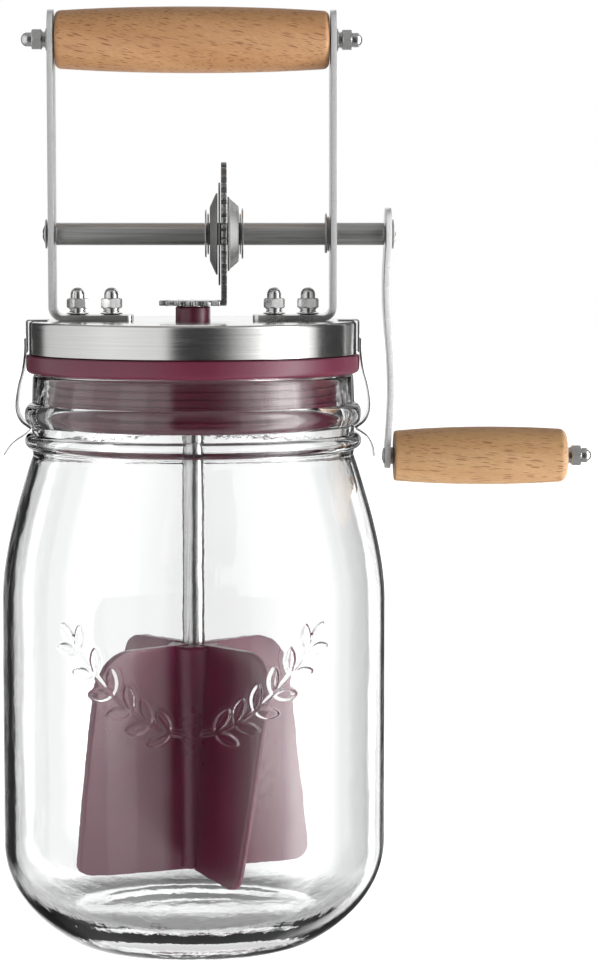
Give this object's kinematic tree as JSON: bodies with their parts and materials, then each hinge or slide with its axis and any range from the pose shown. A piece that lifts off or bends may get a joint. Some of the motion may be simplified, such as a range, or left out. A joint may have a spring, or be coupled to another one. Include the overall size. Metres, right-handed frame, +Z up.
{
  "type": "butter churn",
  "caption": "Hand-cranked butter churn: glass jar, clipped steel lid with gears in a strap frame, twisted paddle and wooden handles.",
  "frame": {"origin": "centre of the jar's flat underside, on the jar's axis", "axes": "+Z up along the jar's axis, +X towards the crank, -Y towards the front"},
  "size_m": [0.2125, 0.1382, 0.334],
  "materials": {
    "jar_glass": "clear, fire polished",
    "maroon_seal": "satin silicone",
    "maroon_plastic": "satin moulded",
    "lid_steel": "polished stainless",
    "satin_steel": "satin, fine lengthwise grain",
    "spring_steel": "bright rolled strip",
    "dark_steel": "turned, oiled",
    "polished_steel": "plated",
    "beech": "turned, oiled"
  },
  "bodies": {
    "jar": {"glass_jar": "jar_glass"},
    "lid": {"lid_cap": "lid_steel", "lid_seal": "maroon_seal", "shaft_bush": "maroon_plastic", "bracket_left": "satin_steel", "bracket_right": "satin_steel", "foot_screw_1": "polished_steel", "foot_screw_2": "polished_steel", "foot_screw_3": "polished_steel", "foot_screw_4": "polished_steel", "foot_washer_1": "polished_steel", "foot_washer_2": "polished_steel", "foot_washer_3": "polished_steel", "foot_washer_4": "polished_steel", "foot_nut_1": "polished_steel", "foot_nut_2": "polished_steel", "foot_nut_3": "polished_steel", "foot_nut_4": "polished_steel", "top_handle": "beech", "handle_rod": "polished_steel", "handle_washer_left": "polished_steel", "handle_washer_right": "polished_steel", "handle_nut_left": "polished_steel", "handle_nut_right": "polished_steel", "clip_plate_left": "spring_steel", "clip_plate_right": "spring_steel"},
    "crank": {"crank_shaft": "dark_steel", "clutch_plate_left": "dark_steel", "clutch_plate_right": "dark_steel", "backing_disc": "dark_steel", "clutch_washer_left": "dark_steel", "clutch_washer_right": "dark_steel", "bracket_washer": "dark_steel", "clutch_ring_left": "polished_steel", "clutch_ring_right": "polished_steel", "bracket_ring": "polished_steel", "gear_wheel": "dark_steel", "crank_arm": "satin_steel", "crank_washer": "polished_steel", "crank_screw": "polished_steel", "shaft_end_washer": "polished_steel", "shaft_end_screw": "polished_steel", "grip_bolt": "dark_steel", "grip_spacer": "dark_steel", "grip_nut": "polished_steel"},
    "grip": {"crank_grip": "beech"},
    "paddle": {"pinion": "dark_steel", "paddle_shaft": "polished_steel", "paddle_shaft_ring": "polished_steel", "paddle": "maroon_plastic"},
    "clip_left": {"spring_clip_left": "spring_steel"},
    "clip_right": {"spring_clip_right": "spring_steel"}
  },
  "joints": [
    {"name": "lid_lift", "type": "slide", "parent": "jar", "child": "lid", "axis": [0, 0, 1], "range_m": [0, 0.2]},
    {"name": "crank_turn", "type": "hinge", "parent": "lid", "child": "crank", "pos_m": [0, 0, 0.2534], "axis": [1, 0, 0], "continuous": true},
    {"name": "paddle_turn", "type": "hinge", "parent": "lid", "child": "paddle", "pos_m": [0, 0, 0.2278], "axis": [0, 0, 1], "continuous": true},
    {"name": "grip_spin", "type": "hinge", "parent": "crank", "child": "grip", "pos_m": [0.1, 0, 0.1736], "axis": [1, 0, 0], "continuous": true},
    {"name": "clip_left_flex", "type": "hinge", "parent": "lid", "child": "clip_left", "pos_m": [-0.06, 0, 0.2163], "axis": [0, 1, 0], "range_deg": [0, 12], "stiffness_Nm_per_rad": 0.3},
    {"name": "clip_right_flex", "type": "hinge", "parent": "lid", "child": "clip_right", "pos_m": [0.06, 0, 0.2163], "axis": [0, -1, 0], "range_deg": [0, 3], "stiffness_Nm_per_rad": 0.3}
  ],
  "couplings": [
    {"joint": "paddle_turn", "follows": "crank_turn", "ratio": 2.1429}
  ]
}
